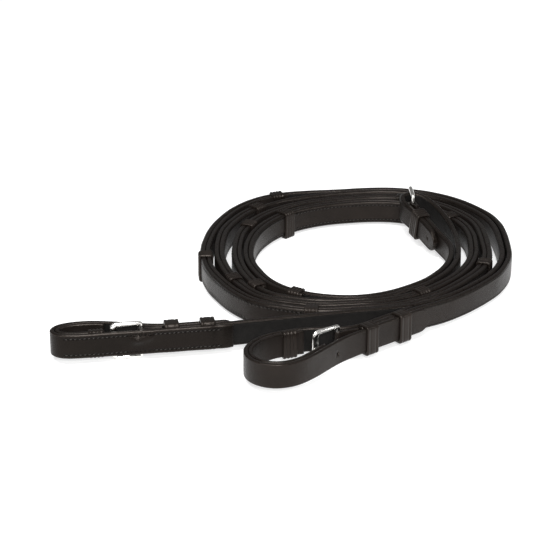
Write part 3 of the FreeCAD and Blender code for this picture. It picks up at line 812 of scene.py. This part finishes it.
GRAIN = leather_material("grain_leather", DARK, LIGHT, 0.38)
# the two rein leathers carry painted shade along their crease lines and in their stitch holes
LEFT_GRAIN = leather_material("left_rein_leather", DARK, LIGHT, 0.38, crease=0.7,
                              stitched=(ROW, *left_sewn))
RIGHT_GRAIN = leather_material("right_rein_leather", DARK, LIGHT, 0.38, crease=0.8,
                               stitched=(ROW, *right_sewn))
# the lap's colours are darker than the other grain leather's, partly for a darker leather and partly as
# painted shade for the floor light it reflects less
DARK_AND_SHADED_LAP_GRAIN = leather_material("left_lap_leather_dark_and_shaded", (0.0026, 0.0020, 0.0016), (0.0062, 0.0047, 0.0039), 0.20,
                             specular=0.12, pore_depth=0.03, wrinkle_depth=0.05, stitched=(ROW, *lap_sewn))
PADDED = leather_material("soft_grip_leather", (0.006, 0.0047, 0.004), (0.013, 0.010, 0.0085), 0.5,
                          pore=0.8, pore_depth=0.10, wrinkle_depth=0.16)
PRESSED = leather_material("pressed_band_leather", (0.0055, 0.0043, 0.0036), (0.012, 0.0092, 0.0077), 0.30,
                           edge_wear=0.0, specular=0.21, pore_depth=0.02, wrinkle_depth=0.05, bump_size=0.5)
FLESH = flesh_material("flesh_side", (0.0025, 0.0022, 0.0020), (0.0085, 0.0077, 0.0070))
EDGES = edge_material("burnished_edge", (0.0028, 0.0021, 0.0017), (0.0098, 0.0073, 0.0059))
NICKEL = nickel_material()
THREAD = thread_material()

# ------------------------------------------------------------ straps
# The left rein's grain faces the middle of the coil, the right rein's faces outwards.
LAP_BUMP = left_billet_path.nearest(LEFT.at(38.5, LAP_OFFSET))
SKIVE = 9.0
TIP, REIN_CREASE = 8.0, 0.4
RUN_OUT = left_billet_path.length - SKIVE


def lap_relief(s, height, across):
    """The lap rides over the folded strap round the buckle bar and is skived thin at its end."""
    outer = np.where(across < 0, 1.0, 0.0)
    bump = np.exp(-((s - LAP_BUMP) / 4.2) ** 2) * np.exp(-((height - 2.2) / 2.8) ** 2)
    ripple = 0.5 * np.exp(-((s - LAP_BUMP - 7.0) / 2.4) ** 2) * np.exp(-((height - 3.4) / 2.2) ** 2)
    thin = np.clip((s - RUN_OUT) / SKIVE, 0, 1) ** 2 * 1.1
    press = 0.5 * np.exp(-((s - RUN_OUT + 1.5) / 2.5) ** 2)
    return outer * (-1.9 * bump - 2.4 * ripple + thin + press)


def dress(piece, node_name, body="reins"):
    """A piece that stands in for a node of the frame."""
    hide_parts(node_name)
    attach(piece, body)


def extra(piece, body="reins"):
    """A piece that the frame has no node for, or a node's second piece."""
    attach(piece, body)


dress(strap("left_rein_strap", left_path, REIN, [FLESH, LEFT_GRAIN, EDGES], crease=REIN_CREASE),
      "left_rein")
right_rein = strap("right_rein_strap", right_path, REIN, [RIGHT_GRAIN, FLESH, EDGES], tip=TIP,
                   crease=REIN_CREASE, seed=2)
dress(right_rein, "right_rein")
dress(strap("left_grip_pad", left_lining_path, LINING, [PADDED, FLESH, EDGES]),
      "left_grip_lining")
dress(strap("right_grip_pad", right_lining_path, LINING, [FLESH, PADDED, EDGES]),
      "right_grip_lining")
left_billet = strap("left_billet_strap", left_billet_path, BILLET, [FLESH, DARK_AND_SHADED_LAP_GRAIN, EDGES], tip=TIP,
                    spacing=1.2, relief=lap_relief, seed=3, fine=True)
dress(left_billet, "left_billet")
right_billet = strap("right_billet_strap", right_billet_path, BILLET, [GRAIN, FLESH, EDGES], tip=TIP,
                     seed=4)
dress(right_billet, "right_billet")
dress(strap("left_loop_pad", left_loop_path, LOOP_LINING, [GRAIN, FLESH, EDGES]),
      "left_loop_lining")
dress(strap("right_loop_pad", right_loop_path, LOOP_LINING, [FLESH, GRAIN, EDGES]),
      "right_loop_lining")


# ------------------------------------------------------------ punched holes and the tongue's slot
ROD_SIDES = 20


def rod(centre, direction, radius, reach):
    """A closed cylinder used only to cut with."""
    d = direction / np.linalg.norm(direction)
    a = np.cross(d, UP) if abs(d @ UP) < 0.9 else np.cross(d, point(1, 0, 0))
    a = a / np.linalg.norm(a)
    b = np.cross(d, a)
    turn = np.linspace(0, 2 * math.pi, ROD_SIDES, endpoint=False)
    ring = np.outer(np.cos(turn) * radius, a) + np.outer(np.sin(turn) * radius, b)
    vertices = np.concatenate((centre - d * reach + ring, centre + d * reach + ring))
    faces = [(j, (j + 1) % ROD_SIDES, ROD_SIDES + (j + 1) % ROD_SIDES, ROD_SIDES + j)
             for j in range(ROD_SIDES)]
    faces += [tuple(reversed(range(ROD_SIDES))), tuple(range(ROD_SIDES, 2 * ROD_SIDES))]
    return new_piece("cutter", vertices, faces, [EDGES])


def cut(piece, cutters):
    """Takes the cutters' shapes out of a piece and removes the cutters."""
    for cutter in cutters:
        change = piece.modifiers.new("cut", "BOOLEAN")
        change.operation, change.solver, change.object = "DIFFERENCE", "EXACT", cutter
    bpy.context.view_layer.update()
    seen = bpy.context.evaluated_depsgraph_get()
    mesh = bpy.data.meshes.new_from_object(piece.evaluated_get(seen))
    piece.modifiers.clear()
    piece.data = mesh
    for cutter in cutters:
        bpy.data.objects.remove(cutter)


HOLE, HOLE_REACH = 1.15, 3.0
tip_holes = [rod(JOIN.at(s, TIP_GAP, COIL_Z + rise), JOIN.across, HOLE, 3.6)
             for s, rise in ((-33, 3.5), (-13, 7.4))]
slot_turn = math.radians(CENTRE_HEADING) + PRONG_TILT
slot_line = point(math.cos(slot_turn), math.sin(slot_turn), 0)
tongue_slot = rod(CENTRE_HEEL + slot_line * 9.0, slot_line, PRONG + 1.0, 9.5)
cut(right_rein, tip_holes + [tongue_slot])
cut(left_billet, [rod(LEFT.at(s, BILLET_OFFSET), LEFT.across, HOLE, HOLE_REACH) for s in (-13, 27)])
hole_place, _, hole_side, _ = right_billet_path.at(right_billet_path.nearest(place(33.7, -140.6)))
cut(right_billet, [rod(hole_place[0], hole_side[0], HOLE, HOLE_REACH)])

# ------------------------------------------------------------ bands
STACK_MIDDLE = (BILLET_OFFSET + BILLET / 2 - REIN / 2) / 2
KEEPER_STACK = REIN + BILLET + 0.1
KEEPER_RIBS = (0.24, 0.52, 0.24)
# Each end's keepers: their stations, and how far they go past the straps below and above.
KEEPERS = (("left", LEFT, (16.7, -5.7), 0.9, 2.0), ("right", RIGHT, (27.7, 0.0), 2.1, 1.0))
for side_name, line, stations, below, above in KEEPERS:
    for number, station in enumerate(stations, start=1):
        keeper = band("%s_keeper_%d_leather" % (side_name, number), line.at(station, STACK_MIDDLE),
                      line.along, KEEPER_STACK, KEEPER_WIDTH, KEEPER_WALL, below, PRESSED,
                      ribs=KEEPER_RIBS, valley=0.45, seed=number, above=above)
        dress(keeper, "%s_keeper_%d" % (side_name, number))

END_LOOP_SHARE = 22 / 24
END_LOOP_WALL = 1.2
for side_name, path in (("left", left_loop_path), ("right", right_loop_path)):
    p, t, _, _ = path.at(path.length * END_LOOP_SHARE)
    loop = band("%s_end_loop_leather" % side_name, p[0], t[0], LOOP_LINING, KEEPER_WIDTH, END_LOOP_WALL,
                1.2, PRESSED, seed=9, above=0.75)
    dress(loop, "%s_end_loop" % side_name)


def add_stops(side_name, stops, middle):
    """The ribbed bands closed round one rein and its lining."""
    for number, angle in enumerate(stops, start=1):
        ahead = coil_point(angle + 1, middle(angle + 1)) - coil_point(angle - 1, middle(angle - 1))
        ahead = ahead / np.linalg.norm(ahead)
        stop = band("%s_stop_%d_leather" % (side_name, number), coil_point(angle, middle(angle)), ahead,
                    REIN + LINING, STOP_WIDTH, STOP_WALL, GROUND_GAP - FIT, PRESSED, seed=20 + number)
        dress(stop, "%s_stop_%d" % (side_name, number))


add_stops("left", LEFT_STOPS, lambda a: inner_radius(a) + (REIN + LINING) / 2)
add_stops("right", RIGHT_STOPS, lambda a: right_radius(a) + REIN / 2 - (REIN + LINING) / 2)
centre_band = band("centre_keeper_leather", JOIN.at(-13.8, TIP_GAP / 2, COIL_Z + 7.24), JOIN.along,
                   REIN + TIP_GAP, KEEPER_WIDTH, KEEPER_WALL, 2.4, PRESSED,
                   slope=math.radians(11.3), seed=40)
dress(centre_band, "centre_keeper")

# ------------------------------------------------------------ stitching
LEAN = math.radians(9)
STOP_CLEARANCE = 5.6
THREAD_PROUD = 0.02


def two_rows(path, start, end, across, gaps=()):
    return [(path, start, end, across, height, LEAN, gaps) for height in (ROW, -ROW)]


def stop_gaps(path, stops, middle):
    """The stretches under the stops, which hide the stitches."""
    centres = [path.nearest(coil_point(a, middle(a))) for a in stops]
    return [(centre - STOP_CLEARANCE, centre + STOP_CLEARANCE) for centre in centres]


left_gaps = stop_gaps(left_path, LEFT_STOPS, left_radius)
right_gaps = stop_gaps(right_path, RIGHT_STOPS, right_radius)
left_rows = two_rows(left_path, *left_sewn, -(REIN / 2 + THREAD_PROUD), left_gaps)
right_rows = two_rows(right_path, *right_sewn, REIN / 2 + THREAD_PROUD, right_gaps)
lap_rows = two_rows(left_billet_path, *lap_sewn, -(BILLET / 2 + THREAD_PROUD),
                    [(LAP_BUMP - 7, LAP_BUMP + 9)])
extra(stitches("left_grip_stitching", left_rows, THREAD))
extra(stitches("right_grip_stitching", right_rows, THREAD))
extra(stitches("left_lap_stitching", lap_rows, THREAD))


# ------------------------------------------------------------ buckles
def local_frame(heel, heading):
    """Turns a place measured from a heel bar, ahead, sideways and up, into a place in the part."""
    turn = math.radians(heading)
    ahead = point(math.cos(turn), math.sin(turn), 0)
    side = point(-math.sin(turn), math.cos(turn), 0)
    return lambda x, y, z: heel + ahead * x + side * y + UP * z


def buckle_frame(name, heel, heading, node_name, body):
    """A round-wire frame: slim heel bar, round rails and a flattened far bar."""
    at = local_frame(heel, heading)
    rail = BUCKLE_HEIGHT / 2 - WIRE
    outline = []
    # each corner with its radius, its first direction and the middle of the bar that follows it
    for corner_x, corner_z, radius, first, middle in (
            (BUCKLE_LENGTH, -rail, CORNER, -90, (BUCKLE_LENGTH, 0.0)),
            (BUCKLE_LENGTH, rail, CORNER, 0, (BUCKLE_LENGTH / 2, rail)),
            (0.0, rail, 1.0, 90, (0.0, 0.0)),
            (0.0, -rail, 1.0, 180, (BUCKLE_LENGTH / 2, -rail))):
        cx = corner_x - radius if corner_x else corner_x + radius
        cz = corner_z - math.copysign(radius, corner_z)
        for k in range(7):
            a = math.radians(first + 15 * k)
            outline.append((cx + radius * math.cos(a), cz + radius * math.sin(a)))
        outline.append(middle)
    line, radii = [], []
    for x, z in outline:
        far = smooth((x - BUCKLE_LENGTH + 3.2) / 3.0)
        slim = smooth((1.6 - x) / 1.2)
        thin = WIRE - (WIRE - HEEL) * slim
        line.append(at(x - 0.75 * far, 0, z))
        radii.append((thin + 0.85 * far, thin - 0.25 * far))
    out = at(0, 1, 0) - at(0, 0, 0)
    made = tube(name, line, radii, NICKEL, 20, closed=True, upright=out)
    dress(made, node_name, body)


def prong(name, heel, heading, side_sign, node_name, body):
    """A tongue rolled round the heel bar, tapering to a tip that rests on the far bar."""
    at = local_frame(heel, heading)
    root, tip = 1.75, math.hypot(BUCKLE_LENGTH, PRONG_LIFT) + 1.95
    line, radii = [], []
    for k in range(13):
        f = k / 12
        d = root + (tip - root) * f
        line.append(at(d * math.cos(PRONG_TILT), side_sign * d * math.sin(PRONG_TILT), 0))
        nose = math.sqrt(max(0.02, 1 - max(0.0, (f - 0.93) / 0.07) ** 2))
        radii.append((PRONG * (1.0 - 0.22 * f) * nose, PRONG * (1.0 - 0.12 * f) * nose))
    shank = tube(name, line, radii, NICKEL, 14)
    # the eye: a closed ring of this profile round the heel bar
    ring_rows = []
    inner, outer, half = HEEL + 0.08, HEEL + 1.06, 1.7
    profile = [(inner, -half + 0.3), (inner + 0.25, -half), (outer - 0.35, -half), (outer, -half + 0.4),
               (outer, half - 0.4), (outer - 0.35, half), (inner + 0.25, half), (inner, half - 0.3)]
    turns = 28
    for i in range(turns):
        a = 2 * math.pi * i / turns
        for r, z in profile:
            ring_rows.append(at(r * math.cos(a), r * math.sin(a), z))
    faces = ring_faces(turns, len(profile), closed=True)
    eye = new_piece(name + "_eye", np.array(ring_rows), faces, [NICKEL])
    dress(shank, node_name, body)
    extra(eye, body)


def chape(name, heel, heading, legs, node_name, lift=0.0):
    """A thin strip folded round the heel bar, open in the middle for the tongue."""
    at = local_frame(heel, heading)
    fold = HEEL + 0.06 + CHAPE / 2
    flat = CHAPE / 2 + GLUE
    middle = -(legs + 5.2) / 2
    route = [(-legs, flat), (middle, flat), (-5.2, flat + 0.1)]
    for step in range(-5, 6):
        turn = math.radians(22.0 * step)
        route.append((fold * math.cos(turn), -fold * math.sin(turn)))
    route += [(-5.2, -flat - 0.1), (middle, -flat), (-legs, -flat)]
    tall, slot = WIDTH - 0.6, 4.2
    made = []
    for word, low, high in (("upper", lift + slot / 2, tall / 2), ("lower", -tall / 2, lift - slot / 2)):
        path = Path([at(x, y, (low + high) / 2) for x, y in route], 0.2)
        made.append(strap("%s_%s" % (name, word), path, CHAPE, [GRAIN, FLESH, EDGES], width=high - low,
                          spacing=0.7, waves=0.0))
    dress(made[0], node_name)
    extra(made[1])


BUCKLES = (("left", LEFT_HEEL, LEFT.heading, -1), ("right", RIGHT_HEEL, RIGHT_HEADING, 1),
           ("centre", CENTRE_HEEL, CENTRE_HEADING, 1))
for where, heel, heading, side_sign in BUCKLES:
    buckle_frame(where + "_frame_metal", heel, heading, where + "_buckle_frame", where + "_frame")
    prong(where + "_tongue_metal", heel, heading, side_sign, where + "_prong", where + "_tongue")
chape("left_chape_leather", LEFT_HEEL, LEFT.heading, 13.0, "left_chape")
chape("right_chape_leather", RIGHT_HEEL, RIGHT_CHAPE_HEADING, 13.5, "right_chape")
chape("centre_chape_leather", JOIN.at(0), JOIN.heading, 6.8, "centre_chape", lift=CENTRE_LIFT)


# ------------------------------------------------------------ floor, light and camera
# The floor glows a little so that it stays plain and pale round the dark leather.
FLOOR, FLOOR_TONE, FLOOR_GLOW, WORLD_GLOW = 6.0, 0.60, 0.60, 0.22
floor_mesh = bpy.data.meshes.new("floor")
floor_mesh.from_pydata([(-FLOOR, -FLOOR, 0), (FLOOR, -FLOOR, 0), (FLOOR, FLOOR, 0), (-FLOOR, FLOOR, 0)],
                       [], [(0, 1, 2, 3)])
floor = bpy.data.objects.new("floor", floor_mesh)
bpy.context.scene.collection.objects.link(floor)
floor_material, floor_tree, floor_shader = nodes_of("pale_floor")
feed(floor_tree, floor_shader, {
    "Base Color": (FLOOR_TONE, FLOOR_TONE, FLOOR_TONE, 1), "Roughness": 0.9, "Specular IOR Level": 0.0,
    "Emission Color": (1, 1, 1, 1), "Emission Strength": FLOOR_GLOW})
floor_mesh.materials.append(floor_material)

world = bpy.data.worlds.new("studio")
bpy.context.scene.world = world
world.use_nodes = True
feed(world.node_tree, world.node_tree.nodes["Background"],
     {"Color": (1, 1, 1, 1), "Strength": WORLD_GLOW})


def softbox(name, location, target, size, power):
    """A rectangular lamp facing a target."""
    lamp = bpy.data.lights.new(name, "AREA")
    lamp.shape = "RECTANGLE"
    lamp.size, lamp.size_y = size
    lamp.energy = power
    lamp_object = bpy.data.objects.new(name, lamp)
    bpy.context.scene.collection.objects.link(lamp_object)
    back = Vector(location) - Vector(target)
    lamp_object.location = location
    lamp_object.rotation_euler = back.to_track_quat("Z", "Y").to_euler()


softbox("overhead", (0.0, 0.15, 1.1), (0, 0, 0), (1.2, 1.0), 1.5)
softbox("front_top", (-0.12, -0.62, 1.0), (0, 0, 0.01), (0.8, 0.22), 15.0)
softbox("front_high", (0.2, -1.42, 0.8), (0, 0, 0.01), (0.4, 0.32), 18.0)
softbox("front_left", (-0.95, -1.15, 0.6), (0, 0, 0.01), (0.6, 0.6), 4.4)
softbox("right", (1.2, -0.3, 0.72), (0.05, -0.1, 0.01), (0.25, 0.25), 2.4)

camera_data = bpy.data.cameras.new("camera")
camera = bpy.data.objects.new("camera", camera_data)
bpy.context.scene.collection.objects.link(camera)
SENSOR = 36.0
LENS = 130.821429
DISTANCE, ELEVATION = 1370.0, math.radians(23.5)
camera_data.sensor_width = SENSOR
camera_data.lens = LENS
camera_place = point(0, -DISTANCE * math.cos(ELEVATION), DISTANCE * math.sin(ELEVATION)) - ORIGIN
camera.location = (camera_place * MM).tolist()
camera.rotation_euler = (math.pi / 2 - ELEVATION, 0, 0)
camera_data.clip_start, camera_data.clip_end = 0.05, 20
bpy.context.scene.camera = camera
bpy.context.scene.view_settings.view_transform = "Standard"
